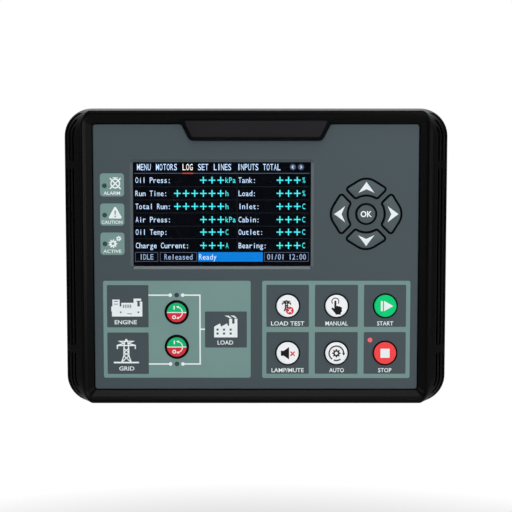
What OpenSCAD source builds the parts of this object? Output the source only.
// Genset controller: a panel-mounted control head with a colour display and sprung keys.
// The front faces -Y and +Z is up. The panel that it is fixed to meets the gasket at y = 0.

/* [Bezel] */
// Width over the rim, left to right
rim_w = 241.2; // [238:0.2:246]
// Height over the rim
rim_h = 187; // [184:1:190]
// Corner radius of the rim
rim_r = 17.5; // [15:0.5:19]
// Height of the front above the panel, gasket included
front_depth = 15; // [14.5:0.5:17]
// How far each ribbed side leans in towards the crown
side_lean = 10.5; // [9:0.5:11]
// How far the top and bottom walls lean in
end_lean = 1.3; // [1:0.1:1.8]
// Width of the slope from the crown down to the faceplate
slope_w = 3.6; // [3:0.1:3.8]
// Grooves cut into each ribbed side
groove_count = 3; // [1:1:3]
// Width of one groove
groove_w = 1.1; // [0.8:0.1:1.2]
// Distance between grooves, from the middle of one to the next
groove_pitch = 2.3; // [2.1:0.05:2.35]

/* [Nameplate tab] */
// Width of the tab where it leaves the frame
tab_top_w = 99.4; // [94:0.2:102]
// Lean of the tab's sides away from upright
tab_lean = 27; // [20:1:35]
// Height of the tab's lower edge above the middle
tab_bottom_z = 73.4; // [72:0.1:76]

/* [Faceplate] */
// Width of the grey faceplate
face_w = 204; // [202:0.5:204]
// Height of the grey faceplate
face_h = 167.4; // [166:0.2:167.4]
// How far the faceplate lies behind the crown
face_drop = 3.5; // [3:0.1:3.8]
// Thickness of the faceplate
face_t = 2.2; // [2:0.1:2.4]

/* [Display] */
// Width of the window opening
window_w = 111.6; // [109:0.2:112]
// Height of the window opening
window_h = 65.4; // [63:0.2:66]
// Centre of the window, left to right
window_x = -21.4; // [-22:0.1:-20]
// Centre of the window, up and down
window_z = 27.3; // [26.5:0.1:29]
// Width of the chamfer round the window
window_chamfer = 1.8; // [1:0.1:2]

/* [Keys] */
// How far a key can be pressed
key_travel = 1; // [0.6:0.1:1]
// How far a key stands proud of the faceplate
key_proud = 1; // [0.6:0.1:1.4]
// Radius of a command key
command_r = 7; // [6.6:0.1:7.2]
// Radius of a breaker key
breaker_r = 6.7; // [6.2:0.1:6.9]
// Radius of the middle key of the direction pad
ok_r = 6; // [5.6:0.05:6.1]
// Room between a key and its hole
key_gap = 0.95; // [0.6:0.05:1]
// Distance between command keys, left to right
command_pitch_x = 30.8; // [30:0.1:31]
// Distance between command keys, up and down
command_pitch_z = 30.1; // [29:0.1:31]

/* [Rear housing] */
// Width of the housing that goes through the panel
cover_w = 212; // [211:0.5:212]
// Height of the housing that goes through the panel
cover_h = 158; // [157:0.5:158]
// Total depth, crown to the back of the housing
total_depth = 53; // [52:0.5:56]
// Thickness of the housing walls
cover_wall = 2.5; // [2.2:0.1:2.8]
// Depth of the terminal steps in front of the back wall
step_drop = 17; // [16:0.5:18]
// Height of the deep middle part of the housing
middle_h = 104; // [102:1:106]

/* [Terminals] */
// Distance between two wire entries of a signal terminal
signal_pitch = 5.08; // [5, 5.08]
// Distance between two wire entries of a mains terminal
mains_pitch = 7.62; // [7.5, 7.62]
// Wire entries of the upper left plug
upper_left_entries = 16; // [12:1:16]
// Wire entries of the upper right plug
upper_right_entries = 12; // [8:1:12]
// Wire entries of the lower left plug
lower_left_entries = 6; // [4:1:6]
// Wire entries of the lower middle plug
lower_middle_entries = 12; // [8:1:12]

/* [Hidden] */
$fn = 64;
// How far a cut reaches past the face that it opens, and two fused solids into each other
over = 1;
eps = 0.05;

// Depths, front to back: the crown is the foremost level and the panel is at zero
gasket_t = 1;
rim_land = 2;
crown_step = 0.5;
crown_land = 0.2;
crown_round = 0.6;
crown_y = -front_depth;
rim_y = -gasket_t;
cheek_back_y = rim_y - rim_land;
cheek_front_y = crown_y + crown_step + crown_land;
face_y = crown_y + face_drop;
face_back_y = face_y + face_t;
seat_y = -5.5;
board_t = 1.6;
board_y = -4.2;
board_back_y = board_y + board_t;
main_y = 12;
main_back_y = main_y + board_t;
back_y = total_depth - front_depth;
step_y = back_y - step_drop;

// Bezel outline: rounded corners about fixed centres, leaning in from the rim to the crown
corner_steps = 14;
edge_steps = 5;
corner_x = rim_w / 2 - rim_r;
corner_z = rim_h / 2 - rim_r;
face_gap = 0.6;
face_r = 1.6;
face_bevel = 0.35;
well_w = face_w + 2 * face_gap;
well_h = face_h + 2 * face_gap;
well_r = face_r + face_gap;
slope_r = 4;
crest_r = 6;
crown_w = 2;
crown_fall = 0.6;
ledge_w = 196;
ledge_h = 152;
ledge_r = 14;
cover_gap = 0.2;
cover_r = 6;
bezel_wall = 2;
pocket_y = -7;
pocket_w = 222.8;
pocket_h = 176;
pocket_r = 11;

// Grooves, outermost first: distance in from the rim, floor, ends and the plain bridges across them
groove_inset = 1.5;
groove_floor_t = 1;
groove_end_z = [90.6, 86.6, 81.9];
bridge_z = 58.4;
bridge_w = 4.6;

// Nameplate tab
tab_y = crown_y + crown_fall;
tab_bevel = 1.6;
tab_room = 0.1;
tab_fillet_r = 4.5;
tab_corner_r = 4;
tab_top_z = well_h / 2;
tab_root_z = tab_top_z + slope_w - tab_room;
tab_steps = 10;
plate_margin = 2.2;
plate_w = 89;
plate_top_z = 86.2;
plate_sink = 0.5;

// Window, seal and display module behind the faceplate
window_r = 0.8;
chamfer_depth = 1;
pane_t = 1.2;
pane_lap = 2.2;
pane_gap = 0.2;
seal_t = 0.8;
seal_w = 2.2;
module_w = 120.7;
module_h = 75.8;
module_wall = 0.6;
glass_t = 1.7;
glass_y = face_back_y + seal_t;
flex_w = 32;
flex_gap = 0.5;
flex_t = 0.3;
flex_y = -5.9;
connector_w = 36;
connector_h = 3.6;
connector_t = 2.4;
connector_z = -15.4;

// Keys: a cap, a flange behind the faceplate and a foot that stands on its dome
flange_gap = 0.3;
flange_t = 1;
flange_lap = 1;
foot_r = 2.6;
foot_t = 0.4;
cap_chamfer = 0.4;
key_front_y = face_y - key_proud;
flange_y = face_back_y + flange_gap;
flange_back_y = flange_y + flange_t;
foot_y = flange_back_y + foot_t;
command_x = 50.8;
command_z = -30.5;
breaker_x = -50.1;
breaker_z = [-34.6, -56.6];
pad_x = 69.1;
pad_z = 27.6;
pad_dome_r = 300;
nav_arc_r = 9.6;
nav_arc_z = 12.3;
nav_flank = 32;
nav_hollow_r = 11.9;
nav_wedge_z = 3.1;
nav_corner_r = 1.4;
nav_foot_z = 16.7;

// Keymat: a sheet on the front board with a hollow dome under each key
mat_t = 1;
mat_y = board_y - mat_t;
dome_r = 4.9;
dome_top_r = 3.1;
dome_wall = 0.7;
pill_r = 1.7;
pill_room = 0.1;
mat_left = -60;
mat_right = 90.5;
mat_low = -68;
mat_high = -20;
mat_pad_left = 45.5;
mat_pad_high = 51;

// Indicator lenses and the lights behind them
lens_r = 1.5;
lens_room = 0.05;
lens_collar_r = 1.9;
lens_collar_t = 0.8;
led_t = 1;
led_w = 2;
led_h = 1.6;
status_x = -95;
status_z = [45.3, 26.9, 8.8];
breaker_lens_z = [-23.7, -67.6];
stop_lens_at = [72.1, -52.3];

// Screws
screw_r = 1.4;
screw_hole_r = 1.5;
head_r = 2.7;
head_t = 1.8;
head_side_t = 1.1;
head_top_r = 1.9;
pilot_depth = 3.3;
pilot_room = 0.3;
pillar_r = 4;
pillar_x = 98.6;
pillar_z = 71.6;
pillar_seat_y = 3;
pillar_bore_r = 3.2;
boss_r = 2.3;
boss_x = 100.6;
boss_z = [-56, 0, 56];
front_board_w = 205;
front_board_h = 150;
main_board_w = 204;
main_board_h = 150;
notch = 10.5;
main_boss_x = 95;
main_boss_z = 57;
main_boss_r = 3;
main_pilot_depth = 4;
boss_root = 0.5;

// Parts on the boards: where each stands and its size
link_z = -64;
link_w = 52;
link_h = 5;
chip_at = [-6, 6];
chip_w = 14;
chip_t = 1.4;
chip_legs = 13;
leg_pitch = 1;
leg_w = 0.4;
leg_l = 1;
leg_t = 0.6;
relay_count = 6;
relay_x = -80;
relay_z = -36;
relay_pitch = 19;
relay_w = 15.4;
relay_h = 19;
relay_t = 15.2;
relay_r = 0.8;
can_count = 4;
can_x = 46;
can_z = 34;
can_pitch = 13;
can_r = 5;
can_t = 12;
can_bevel = 0.4;
coil_at = [64, 10];
coil_r = 6.2;
coil_w = 6;
coil_t = 8;
coil_round = 1.4;
buzzer_at = [-60, 26];
buzzer_r = 6;
buzzer_t = 9.4;
buzzer_bevel = 0.8;
buzzer_port_r = 1.1;
buzzer_port_depth = 1.4;
cell_at = [-30, 34];
cell_r = 10;
cell_t = 3.2;
holder_gap = 0.1;
holder_wall = 1.9;
holder_floor = 1.4;
holder_t = 5;

// Terminals: headers on the main board, plugs pushed into them from behind
header_h = 8.6;
header_t = 8.6;
header_wall = 0.9;
header_floor = 1.6;
pin = 1;
pin_sink = 1.5;
pin_room = 0.2;
plug_room = 0.15;
plug_lap = 0.6;
plug_h = 11.4;
plug_sink = 0.5;
plug_back_y = back_y - plug_sink;
nose_gap = 0.4;
seat_gap = 0.1;
entry_w = 3.4;
entry_h = 4.2;
entry_depth = 8;
entry_offset = 1.6;
clamp_r = 1.8;
clamp_depth = 3.4;
clamp_inset = 5.4;
cutout_gap = 0.4;
bank_z = 65;
entry_counts = [upper_left_entries, upper_right_entries, lower_left_entries, lower_middle_entries];
plug_x = [-45, 36, -62, 14];
plug_side = [1, 1, -1, -1];
plug_pitch = [signal_pitch, signal_pitch, mains_pitch, signal_pitch];
socket_x = 68;
socket_w = 12;
socket_h = 11;
socket_t = 11;
socket_mouth_w = 8.5;
socket_mouth_h = 7.8;
socket_depth = 9;
tongue_w = 5.6;
tongue_h = 3.2;

// Panel gasket: how far it stays inside the rim and clear of the housing
gasket_inset = 1;
gasket_gap = 1.2;

// Deep middle of the housing
middle_inset = 0.5;
middle_w = cover_w - 2 * middle_inset;
middle_r = 2;
middle_chamfer = 1.5;

// Slots in the housing's sides that take the fixing clips
clip_z = 32;
clip_y = 5.5;
clip_slot_t = 5;
clip_slot_h = 14;

function lerp(a, b, t) = a + (b - a) * t;

// Bezel outline at a share t of the way from the crown to the rim, drawn in by an inset
function bezel_outline(t, inset) =
    let (
        a = lerp(rim_r - side_lean, rim_r, t) - inset,
        b = lerp(rim_r - end_lean, rim_r, t) - inset
    )
    [
        for (q = [0:3]) for (i = [0:corner_steps])
            let (
                turn = 90 * (q + i / corner_steps),
                sx = q == 0 || q == 3 ? 1 : -1,
                sz = q < 2 ? 1 : -1
            )
            [sx * corner_x + a * cos(turn), sz * corner_z + b * sin(turn)]
    ];

// Rounded rectangle as a ring of points, for lofts
function rounded_ring(w, h, r, steps, x = 0, z = 0) =
    [
        for (q = [0:3]) for (i = [0:steps])
            let (
                turn = 90 * (q + i / steps),
                sx = q == 0 || q == 3 ? 1 : -1,
                sz = q < 2 ? 1 : -1
            )
            [x + sx * (w / 2 - r) + r * cos(turn), z + sz * (h / 2 - r) + r * sin(turn)]
    ];

// Right-hand edge of the tab, drawn in by an inset: a fillet, a straight flank and a rounded corner.
// Where it leaves the slope of the frame it has an inset of its own
function tab_edge(start_inset, inset) =
    let (
        turn = 90 - tab_lean,
        both_r = tab_fillet_r + tab_corner_r,
        flank = (tab_top_z - tab_bottom_z - both_r * (1 - cos(turn))) / sin(turn),
        fillet_x = tab_top_w / 2,
        low_x = fillet_x - flank * cos(turn) - both_r * sin(turn)
    )
    concat(
        [
            for (i = [0:tab_steps])
                let (
                    a = turn * i / tab_steps,
                    r = tab_fillet_r + lerp(start_inset, inset, i / tab_steps)
                )
                [fillet_x - r * sin(a), tab_top_z - tab_fillet_r + r * cos(a)]
        ],
        [
            for (i = [tab_steps:-1:0])
                let (
                    a = turn * i / tab_steps,
                    r = tab_corner_r - inset
                )
                [low_x + r * sin(a), tab_bottom_z + tab_corner_r - r * cos(a)]
        ]
    );

// Whole outline of the tab, anticlockwise seen from the front
function tab_outline(start_inset, inset) =
    let (
        edge = tab_edge(start_inset, inset),
        last = len(edge) - 1
    )
    concat(
        [[-edge[0][0], tab_root_z]],
        [for (p = edge) [-p[0], p[1]]],
        [for (i = [last:-1:0]) edge[i]],
        [[edge[0][0], tab_root_z]]
    );

// Slab of a flat outline that stands across the depth, from one y to another
module across(y0, y1) {
    translate([0, y1, 0])
        rotate([90, 0, 0])
            linear_extrude(y1 - y0)
                children();
}

// Solid skinned through rings of equal count, each at its own depth, front to back.
// Its ends are closed by strips between the points that face each other across the ring
module loft(rings, depths) {
    n = len(rings[0]);
    last = len(rings) - 1;
    points = [for (k = [0:last]) for (p = rings[k]) [p[0], depths[k], p[1]]];
    strips = [for (i = [0:n / 2 - 2]) [i, i + 1, n - 2 - i, n - 1 - i]];
    front = [for (s = strips) [s[3], s[2], s[1], s[0]]];
    back = [for (s = strips) [for (i = s) last * n + i]];
    sides = [
        for (k = [0:last - 1]) for (i = [0:n - 1])
            let (
                a = k * n + i,
                b = k * n + (i + 1) % n
            )
            each [[a, b, b + n], [a, b + n, a + n]]
    ];
    polyhedron(points, concat(front, sides, back));
}

// Round piece turned about the depth axis: the profile is radius against height towards the front
module turned(x, z) {
    translate([x, 0, z])
        rotate([90, 0, 0])
            rotate_extrude()
                children();
}

// Round post or hole between two depths
module post(x, z, r, y0, y1) {
    translate([x, y1, z])
        rotate([90, 0, 0])
            cylinder(r = r, h = y1 - y0);
}

// Rectangle with true round corners
module rounded(w, h, r) {
    square([w - 2 * r, h], center = true);
    square([w, h - 2 * r], center = true);
    for (sx = [-1, 1], sz = [-1, 1])
        translate([sx * (w / 2 - r), sz * (h / 2 - r)])
            circle(r);
}

module at_window() {
    translate([window_x, window_z])
        children();
}

// One long stretch of a side's grooves between the bridges, and a shorter one at each end
module groove_runs(k) {
    run_w = rim_w / 2 - corner_x + over;
    middle = bridge_z - bridge_w / 2;
    outer = bridge_z + bridge_w / 2;
    for (sx = [-1, 1])
        translate([sx * (corner_x + run_w / 2), 0]) {
            square([run_w, 2 * middle], center = true);
            for (sz = [-1, 1])
                translate([0, sz * (outer + groove_end_z[k]) / 2])
                    square([run_w, groove_end_z[k] - outer], center = true);
        }
}

// Grooves of both sides: deep slots that open to the front and run along the rim
module side_grooves() {
    for (k = [0:groove_count - 1]) {
        inset = groove_inset + k * groove_pitch;
        across(crown_y, rim_y - groove_floor_t)
            intersection() {
                groove_runs(k);
                difference() {
                    polygon(bezel_outline(1, inset - groove_w / 2));
                    polygon(bezel_outline(1, inset + groove_w / 2));
                }
            }
    }
}

// Outer form of the bezel: rounded crown, small step, leaning sides and a square rim
module bezel_form() {
    round_turns = [90, 60, 30, 0];
    crown_rings = [for (a = round_turns) bezel_outline(0, crown_step + crown_round * (1 - cos(a)))];
    crown_depths = [for (a = round_turns) crown_y + crown_round * (1 - sin(a))];
    loft(
        concat(
            crown_rings,
            [
                bezel_outline(0, crown_step),
                bezel_outline(0, 0),
                bezel_outline(1, 0),
                bezel_outline(1, 0)
            ]
        ),
        concat(crown_depths, [cheek_front_y, cheek_front_y, cheek_back_y, rim_y])
    );
}

// Outline of the well, grown by a margin
function well_ring(grow, r) = rounded_ring(well_w + 2 * grow, well_h + 2 * grow, r, corner_steps);

// Well in the front: the crown falls gently, the slope goes down to the straight sides round the faceplate
module bezel_well() {
    crest = slope_w + crown_w;
    loft(
        [
            well_ring(crest, crest_r),
            well_ring(crest, crest_r),
            well_ring(slope_w, slope_r),
            well_ring(0, well_r),
            well_ring(0, well_r)
        ],
        [crown_y - over, crown_y, crown_y + crown_fall, face_y, face_back_y]
    );
}

// Tab that hangs from the frame, with a shallow recess for a nameplate
module name_tab() {
    front_inset = slope_w - 2 * tab_room;
    edge_y = tab_y + tab_bevel;
    edge_inset = slope_w * (face_y - edge_y) / (face_y - tab_y) - tab_room;
    difference() {
        loft(
            [tab_outline(front_inset, tab_bevel), tab_outline(edge_inset, 0), tab_outline(0, 0)],
            [tab_y, edge_y, face_y - tab_room]
        );
        across(tab_y - over, tab_y + plate_sink)
            intersection() {
                polygon(tab_outline(front_inset + plate_margin, plate_margin));
                translate([-plate_w / 2, tab_bottom_z])
                    square([plate_w, plate_top_z - tab_bottom_z]);
            }
    }
}

module front_bezel() {
    collar = 2 * (cover_gap + bezel_wall);
    color([0.09, 0.09, 0.1]) {
        difference() {
            bezel_form();
            bezel_well();
            side_grooves();
            across(face_back_y - eps, seat_y + eps)
                rounded(ledge_w, ledge_h, ledge_r);
            across(seat_y, rim_y + over)
                rounded(cover_w + 2 * cover_gap, cover_h + 2 * cover_gap, cover_r + cover_gap);
            across(pocket_y, rim_y + over)
                difference() {
                    rounded(pocket_w, pocket_h, pocket_r);
                    rounded(cover_w + collar, cover_h + collar, cover_r);
                }
            cover_screw_places()
                post(0, 0, screw_hole_r, seat_y - pilot_depth, seat_y + over);
            board_screw_places()
                post(0, 0, screw_hole_r, seat_y - pilot_depth, seat_y + over);
        }
        board_screw_places()
            difference() {
                post(0, 0, boss_r, seat_y, board_y);
                post(0, 0, screw_hole_r, seat_y - over, board_y + over);
            }
        name_tab();
    }
}

module cover_screw_places() {
    for (sx = [-1, 1], sz = [-1, 1])
        translate([sx * pillar_x, 0, sz * pillar_z])
            children();
}

module board_screw_places() {
    for (sx = [-1, 1], z = boss_z)
        translate([sx * boss_x, 0, z])
            children();
}

module main_screw_places() {
    for (sx = [-1, 1], sz = [-1, 1])
        translate([sx * main_boss_x, 0, sz * main_boss_z])
            children();
}

module command_places() {
    for (i = [-1:1], j = [0, 1])
        translate([command_x + i * command_pitch_x, command_z - j * command_pitch_z])
            children();
}

module breaker_places() {
    for (z = breaker_z)
        translate([breaker_x, z])
            children();
}

// Outline of one direction key, pointing up from the middle of the pad, grown by a margin
module nav_outline(grow) {
    reach = 2 * nav_arc_r;
    shoulder = [nav_arc_r * sin(nav_flank), nav_arc_z + nav_arc_r * cos(nav_flank)];
    tip = shoulder + nav_arc_r * [cos(nav_flank), -sin(nav_flank)];
    offset(r = grow + nav_corner_r, $fn = 32)
        offset(delta = -nav_corner_r)
            difference() {
                intersection() {
                    union() {
                        translate([0, nav_arc_z])
                            circle(nav_arc_r);
                        polygon([[0, 0], tip, shoulder, [-shoulder[0], shoulder[1]], [-tip[0], tip[1]]]);
                    }
                    translate([0, nav_wedge_z])
                        polygon([[0, 0], [reach, reach], [-reach, reach]]);
                }
                circle(nav_hollow_r);
            }
}

module lens_places() {
    for (z = status_z)
        translate([status_x, z])
            children();
    for (z = breaker_lens_z)
        translate([breaker_x, z])
            children();
    translate(stop_lens_at)
        children();
}

module faceplate() {
    color([0.27, 0.32, 0.34])
        difference() {
            loft(
                [
                    rounded_ring(face_w - 2 * face_bevel, face_h - 2 * face_bevel, face_r, edge_steps),
                    rounded_ring(face_w, face_h, face_r, edge_steps),
                    rounded_ring(face_w, face_h, face_r, edge_steps)
                ],
                [face_y, face_y + face_bevel, face_back_y]
            );
            across(face_y - over, face_back_y + over) {
                command_places()
                    circle(command_r + key_gap);
                breaker_places()
                    circle(breaker_r + key_gap);
                lens_places()
                    circle(lens_r);
                translate([pad_x, pad_z]) {
                    circle(ok_r + key_gap);
                    for (a = [0:90:270])
                        rotate(a)
                            nav_outline(key_gap);
                }
            }
            window_funnel();
            across(face_back_y - pane_t, face_back_y + over)
                at_window()
                    pane_outline(pane_lap + pane_gap);
        }
}

// Flat outline of the window, grown by a margin
module pane_outline(grow) {
    rounded(window_w + 2 * grow, window_h + 2 * grow, window_r + grow);
}

// The same outline as a ring of points, with a corner radius of its own
function window_ring(grow, r) =
    rounded_ring(window_w + 2 * grow, window_h + 2 * grow, r, edge_steps, window_x, window_z);

// Window opening: a chamfer leads down from the face to the straight sides
module window_funnel() {
    lead = chamfer_depth / window_chamfer;
    wide = window_chamfer + over;
    loft(
        [
            window_ring(wide, window_r + wide),
            window_ring(0, window_r),
            window_ring(0, window_r)
        ],
        [face_y + chamfer_depth - wide * lead, face_y + chamfer_depth, face_back_y + over]
    );
}

module display_window() {
    color([0.05, 0.06, 0.08, 0.6])
        across(face_back_y - pane_t, face_back_y)
            at_window()
                pane_outline(pane_lap);
}

module window_seal() {
    color([0.1, 0.1, 0.1])
        across(face_back_y, glass_y)
            at_window()
                difference() {
                    square([window_w + 2 * seal_w, window_h + 2 * seal_w], center = true);
                    square([window_w, window_h], center = true);
                }
}

module display_panel() {
    color([0.02, 0.02, 0.03])
        across(glass_y, glass_y + glass_t)
            at_window()
                square([module_w - 2 * module_wall, module_h - 2 * module_wall], center = true);
}

// Folded steel tray that holds the glass and its backlight against the board
module display_frame() {
    color([0.7, 0.71, 0.72])
        difference() {
            across(glass_y, board_y)
                at_window()
                    square([module_w, module_h], center = true);
            across(glass_y - over, glass_y + glass_t)
                at_window()
                    square([module_w - 2 * module_wall, module_h - 2 * module_wall], center = true);
            across(flex_y - flex_t, flex_y + 2 * flex_t)
                translate([window_x, window_z - module_h / 2])
                    square([flex_w + 2 * flex_gap, 4 * module_wall], center = true);
        }
}

// Flat ribbon from the display's lower edge to its connector
module display_flex() {
    low = connector_z + connector_h / 2;
    high = window_z - module_h / 2 + module_wall;
    color([0.75, 0.5, 0.15])
        across(flex_y, flex_y + flex_t)
            translate([window_x, (low + high) / 2])
                square([flex_w, high - low], center = true);
}

module flex_connector() {
    color([0.85, 0.83, 0.76])
        across(board_y - connector_t, board_y)
            translate([window_x, connector_z])
                square([connector_w, connector_h], center = true);
}

module key_places() {
    command_places()
        children();
    breaker_places()
        children();
    translate([pad_x, pad_z]) {
        children();
        for (a = [0:90:270])
            rotate(a)
                translate([0, nav_foot_z])
                    children();
    }
}

// One silicone sheet: hollow domes with a contact pill inside, and room for the lenses
module keymat() {
    top = -foot_y;
    base = -mat_y;
    floor = -board_y - over;
    pill_base = -board_y + key_travel + pill_room;
    color([0.06, 0.06, 0.06]) {
        difference() {
            union() {
                across(mat_y, board_y)
                    difference() {
                        union() {
                            translate([mat_left, mat_low])
                                square([mat_right - mat_left, mat_high - mat_low]);
                            translate([mat_pad_left, mat_low])
                                square([mat_right - mat_pad_left, mat_pad_high - mat_low]);
                        }
                        lens_places()
                            circle(lens_collar_r);
                    }
                rotate([90, 0, 0])
                    key_places()
                        translate([0, 0, base])
                            cylinder(r1 = dome_r, r2 = dome_top_r, h = top - base);
            }
            rotate([90, 0, 0])
                key_places()
                    translate([0, 0, floor])
                        cylinder(r1 = dome_r, r2 = dome_top_r - dome_wall, h = top - dome_wall - floor);
        }
        rotate([90, 0, 0])
            key_places()
                translate([0, 0, pill_base])
                    cylinder(r = pill_r, h = top - dome_wall - pill_base);
    }
}

// Round key: chamfered cap, flange that keeps it behind the faceplate, and a foot on its dome
module round_key(x, z, r) {
    turned(x, z)
        polygon([
            [0, -foot_y],
            [foot_r, -foot_y],
            [foot_r, -flange_back_y],
            [r + key_gap + flange_lap, -flange_back_y],
            [r + key_gap + flange_lap, -flange_y],
            [r, -flange_y],
            [r, -key_front_y - cap_chamfer],
            [r - cap_chamfer, -key_front_y],
            [0, -key_front_y]
        ]);
}

// Direction key: its crown is part of one shallow dome over the whole pad
module direction_key(turn) {
    color([0.25, 0.29, 0.31])
        translate([pad_x, 0, pad_z])
            rotate([0, turn, 0]) {
                intersection() {
                    across(key_front_y, flange_y)
                        nav_outline(0);
                    translate([0, key_front_y + pad_dome_r, 0])
                        sphere(pad_dome_r, $fn = 256);
                }
                across(flange_y, flange_back_y)
                    nav_outline(key_gap + flange_lap);
                post(0, nav_foot_z, foot_r, flange_back_y, foot_y);
            }
}

module up_key() {
    direction_key(0);
}

module right_key() {
    direction_key(90);
}

module down_key() {
    direction_key(180);
}

module left_key() {
    direction_key(270);
}

module ok_key() {
    color([0.25, 0.29, 0.31])
        round_key(pad_x, pad_z, ok_r);
}

module command_key(column, row) {
    round_key(command_x + (column - 1) * command_pitch_x, command_z - row * command_pitch_z, command_r);
}

module test_key() {
    color([0.93, 0.94, 0.95])
        command_key(0, 0);
}

module manual_key() {
    color([0.93, 0.94, 0.95])
        command_key(1, 0);
}

module start_key() {
    color([0.02, 0.72, 0.4])
        command_key(2, 0);
}

module mute_key() {
    color([0.93, 0.94, 0.95])
        command_key(0, 1);
}

module auto_key() {
    color([0.93, 0.94, 0.95])
        command_key(1, 1);
}

module stop_key() {
    color([0.95, 0.22, 0.22])
        command_key(2, 1);
}

module gen_breaker_key() {
    color([0.05, 0.05, 0.06])
        round_key(breaker_x, breaker_z[0], breaker_r);
}

module mains_breaker_key() {
    color([0.05, 0.05, 0.06])
        round_key(breaker_x, breaker_z[1], breaker_r);
}

// Light pipe: a lens in the faceplate, a collar behind it and a stem down to its light
module light_pipe(x, z) {
    collar_y = face_back_y + lens_collar_t;
    turned(x, z)
        polygon([
            [0, -board_y + led_t],
            [lens_r - lens_room, -board_y + led_t],
            [lens_r - lens_room, -collar_y],
            [lens_collar_r, -collar_y],
            [lens_collar_r, -face_back_y],
            [lens_r - lens_room, -face_back_y],
            [lens_r - lens_room, -face_y],
            [0, -face_y]
        ]);
}

module status_lenses() {
    color([0.2, 0.27, 0.27])
        for (z = status_z)
            light_pipe(status_x, z);
}

module breaker_lenses() {
    color([0.2, 0.27, 0.27])
        for (z = breaker_lens_z)
            light_pipe(breaker_x, z);
}

module stop_lens() {
    color([0.96, 0.4, 0.45])
        light_pipe(stop_lens_at[0], stop_lens_at[1]);
}

module indicator_leds() {
    color([0.95, 0.93, 0.8])
        across(board_y - led_t, board_y)
            lens_places()
                square([led_w, led_h], center = true);
}

// Board outline with its corners cut away round the housing's screw pillars
module board_outline(w, h) {
    square([w - 2 * notch, h], center = true);
    square([w, h - 2 * notch], center = true);
}

module front_board() {
    color([0.05, 0.3, 0.16])
        across(board_y, board_back_y)
            difference() {
                board_outline(front_board_w, front_board_h);
                for (sx = [-1, 1], z = boss_z)
                    translate([sx * boss_x, z])
                        circle(screw_hole_r);
            }
}

// Pan-head screw that enters towards the front, with its head seated at a given depth
module screw(seat, tip) {
    post(0, 0, screw_r, tip, seat);
    turned(0, 0)
        polygon([
            [0, -seat],
            [head_r, -seat],
            [head_r, -seat - head_side_t],
            [head_top_r, -seat - head_t],
            [0, -seat - head_t]
        ]);
}

module front_board_screws() {
    color([0.72, 0.73, 0.75])
        board_screw_places()
            screw(board_back_y, seat_y - pilot_depth + pilot_room);
}

// Stacked header between the two boards
module board_link() {
    color([0.05, 0.05, 0.05])
        across(board_back_y, main_y)
            translate([0, link_z])
                square([link_w, link_h], center = true);
}

module main_board() {
    color([0.05, 0.3, 0.16])
        across(main_y, main_back_y)
            difference() {
                board_outline(main_board_w, main_board_h);
                for (sx = [-1, 1], sz = [-1, 1])
                    translate([sx * main_boss_x, sz * main_boss_z])
                        circle(screw_hole_r);
            }
}

// These enter from the front of the main board, so they are turned round
module main_board_screws() {
    color([0.72, 0.73, 0.75])
        main_screw_places()
            mirror([0, 1, 0])
                screw(-main_y, -main_back_y - main_pilot_depth + pilot_room);
}

// Flat chip with a row of legs along each side
module processor() {
    half = (chip_legs - 1) / 2;
    color([0.07, 0.07, 0.08]) {
        across(main_back_y, main_back_y + chip_t)
            translate(chip_at)
                square(chip_w, center = true);
        for (a = [0:90:270], i = [-half:half])
            translate([chip_at[0], 0, chip_at[1]])
                rotate([0, a, 0])
                    across(main_back_y, main_back_y + leg_t)
                        translate([i * leg_pitch, (chip_w + leg_l) / 2])
                            square([leg_w, leg_l], center = true);
    }
}

module output_relays() {
    color([0.1, 0.2, 0.5])
        for (i = [0:relay_count - 1])
            across(main_back_y, main_back_y + relay_t)
                translate([relay_x + i * relay_pitch, relay_z])
                    rounded(relay_w, relay_h, relay_r);
}

module supply_capacitors() {
    top = -main_back_y - can_t;
    color([0.15, 0.15, 0.18])
        for (i = [0:can_count - 1])
            turned(can_x + i * can_pitch, can_z)
                polygon([
                    [0, -main_back_y],
                    [can_r, -main_back_y],
                    [can_r, top + can_bevel],
                    [can_r - can_bevel, top],
                    [0, top]
                ]);
}

// Wound ring standing on the board
module supply_inductor() {
    color([0.6, 0.33, 0.12])
        turned(coil_at[0], coil_at[1])
            translate([coil_r, -main_back_y - coil_t / 2])
                rounded(coil_w, coil_t, coil_round);
}

module alarm_buzzer() {
    top = -main_back_y - buzzer_t;
    color([0.08, 0.08, 0.08])
        turned(buzzer_at[0], buzzer_at[1])
            polygon([
                [0, -main_back_y],
                [buzzer_r, -main_back_y],
                [buzzer_r, top + buzzer_bevel],
                [buzzer_r - buzzer_bevel, top],
                [buzzer_port_r, top],
                [buzzer_port_r, top + buzzer_port_depth],
                [0, top + buzzer_port_depth]
            ]);
}

module battery_holder() {
    bore_r = cell_r + holder_gap;
    color([0.1, 0.1, 0.1])
        difference() {
            post(cell_at[0], cell_at[1], bore_r + holder_wall, main_back_y, main_back_y + holder_t);
            post(cell_at[0], cell_at[1], bore_r, main_back_y + holder_floor, main_back_y + holder_t + over);
        }
}

module clock_battery() {
    cell_y = main_back_y + holder_floor;
    color([0.78, 0.79, 0.8])
        post(cell_at[0], cell_at[1], cell_r, cell_y, cell_y + cell_t);
}

function plug_width(k) = entry_counts[k] * plug_pitch[k];
function header_width(k) = plug_width(k) + 2 * header_wall;
function entry_x(k, i) = plug_x[k] + (i - (entry_counts[k] - 1) / 2) * plug_pitch[k];

module at_plug(k) {
    translate([plug_x[k], plug_side[k] * bank_z])
        children();
}

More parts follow.
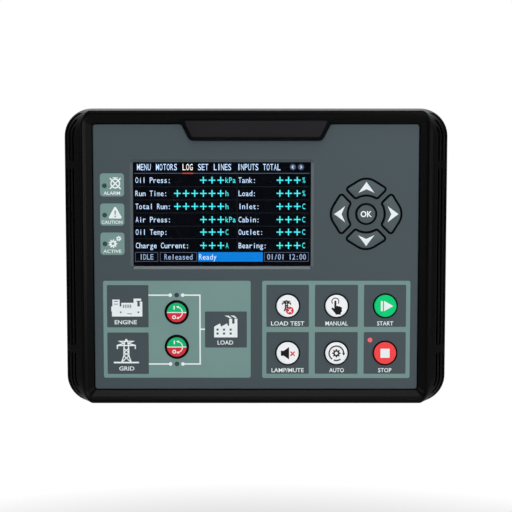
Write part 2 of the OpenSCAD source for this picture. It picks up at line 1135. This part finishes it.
// Shrouded header with a row of pins
module header(k) {
    difference() {
        across(main_back_y, main_back_y + header_t)
            at_plug(k)
                square([header_width(k), header_h], center = true);
        across(main_back_y + header_floor, main_back_y + header_t + over)
            at_plug(k)
                square([plug_width(k), header_h - 2 * header_wall], center = true);
    }
    across(main_back_y + header_floor, main_back_y + header_t - pin_sink)
        for (i = [0:entry_counts[k] - 1])
            translate([entry_x(k, i), plug_side[k] * bank_z])
                square(pin, center = true);
}

module terminal_headers() {
    color([0.1, 0.36, 0.2])
        for (k = [0:len(entry_counts) - 1])
            header(k);
}

// Plug: a nose in the header, wire entries behind and a clamp screw well over each
module terminal_plug(k) {
    side = plug_side[k];
    nose_y = main_back_y + header_floor + nose_gap;
    body_y = main_back_y + header_t + seat_gap;
    shrink = 2 * plug_room;
    color([0.12, 0.5, 0.26])
        difference() {
            union() {
                across(nose_y, body_y)
                    at_plug(k)
                        square([plug_width(k) - shrink, header_h - 2 * header_wall - shrink], center = true);
                across(body_y, plug_back_y)
                    at_plug(k)
                        square([plug_width(k) + 2 * plug_lap, plug_h], center = true);
            }
            for (i = [0:entry_counts[k] - 1])
                translate([entry_x(k, i), 0, side * bank_z]) {
                    across(nose_y - over, body_y)
                        square(pin + 2 * pin_room, center = true);
                    across(plug_back_y - entry_depth, plug_back_y + over)
                        translate([0, -side * entry_offset])
                            square([entry_w, entry_h], center = true);
                    translate([0, plug_back_y - clamp_inset, side * (plug_h / 2 - clamp_depth)])
                        rotate([side > 0 ? 0 : 180, 0, 0])
                            cylinder(r = clamp_r, h = clamp_depth + over, $fn = 32);
                }
        }
}

module upper_left_plug() {
    terminal_plug(0);
}

module upper_right_plug() {
    terminal_plug(1);
}

module lower_left_plug() {
    terminal_plug(2);
}

module lower_middle_plug() {
    terminal_plug(3);
}

module at_socket() {
    translate([socket_x, -bank_z])
        children();
}

module usb_socket() {
    socket_back_y = main_back_y + socket_t;
    color([0.72, 0.73, 0.75])
        difference() {
            across(main_back_y, socket_back_y)
                at_socket()
                    square([socket_w, socket_h], center = true);
            across(socket_back_y - socket_depth, socket_back_y + over)
                at_socket()
                    difference() {
                        square([socket_mouth_w, socket_mouth_h], center = true);
                        square([tongue_w, tongue_h], center = true);
                    }
        }
}

module panel_gasket() {
    color([0.05, 0.05, 0.05])
        across(rim_y, 0)
            difference() {
                rounded(rim_w - 2 * gasket_inset, rim_h - 2 * gasket_inset, rim_r - gasket_inset);
                rounded(cover_w + 2 * gasket_gap, cover_h + 2 * gasket_gap, cover_r + gasket_gap);
            }
}

// Outer form of the housing: a broad tub with terminal steps, and a deep middle with chamfered edges
module cover_form() {
    low_w = middle_w - 2 * middle_chamfer;
    low_h = middle_h - 2 * middle_chamfer;
    across(seat_y, step_y)
        rounded(cover_w, cover_h, cover_r);
    loft(
        [
            rounded_ring(middle_w, middle_h, middle_r, edge_steps),
            rounded_ring(middle_w, middle_h, middle_r, edge_steps),
            rounded_ring(low_w, low_h, middle_r, edge_steps)
        ],
        [step_y - over, back_y - middle_chamfer, back_y]
    );
}

module rear_cover() {
    inner_w = cover_w - 2 * cover_wall;
    inner_h = cover_h - 2 * cover_wall;
    step_inner_y = step_y - cover_wall;
    color([0.09, 0.09, 0.1])
        difference() {
            union() {
                difference() {
                    cover_form();
                    across(seat_y - over, step_inner_y)
                        rounded(inner_w, inner_h, cover_r - cover_wall);
                    across(step_inner_y - over, back_y - cover_wall)
                        square([inner_w, middle_h - 2 * cover_wall], center = true);
                }
                cover_screw_places()
                    post(0, 0, pillar_r, seat_y, step_y - boss_root);
                main_screw_places()
                    post(0, 0, main_boss_r, main_back_y, step_inner_y + boss_root);
            }
            cover_screw_places() {
                post(0, 0, screw_hole_r, seat_y - over, step_y + over);
                post(0, 0, pillar_bore_r, pillar_seat_y, step_y + over);
            }
            main_screw_places()
                post(0, 0, screw_hole_r, main_back_y - over, main_back_y + main_pilot_depth);
            across(step_inner_y - over, step_y + over) {
                for (k = [0:len(entry_counts) - 1])
                    at_plug(k)
                        square([header_width(k) + 2 * cutout_gap, header_h + 2 * cutout_gap], center = true);
                at_socket()
                    square([socket_w + 2 * cutout_gap, socket_h + 2 * cutout_gap], center = true);
            }
            for (sx = [-1, 1], sz = [-1, 1])
                translate([sx * cover_w / 2, clip_y, sz * clip_z])
                    cube([4 * cover_wall, clip_slot_t, clip_slot_h], center = true);
        }
}

module cover_screws() {
    color([0.72, 0.73, 0.75])
        cover_screw_places()
            screw(pillar_seat_y, seat_y - pilot_depth + pilot_room);
}

front_bezel();
faceplate();
display_window();
window_seal();
display_panel();
display_frame();
display_flex();
flex_connector();
keymat();
up_key();
right_key();
down_key();
left_key();
ok_key();
test_key();
manual_key();
start_key();
mute_key();
auto_key();
stop_key();
gen_breaker_key();
mains_breaker_key();
status_lenses();
breaker_lenses();
stop_lens();
indicator_leds();
front_board();
front_board_screws();
board_link();
main_board();
main_board_screws();
processor();
output_relays();
supply_capacitors();
supply_inductor();
alarm_buzzer();
clock_battery();
battery_holder();
terminal_headers();
upper_left_plug();
upper_right_plug();
lower_left_plug();
lower_middle_plug();
usb_socket();
panel_gasket();
rear_cover();
cover_screws();
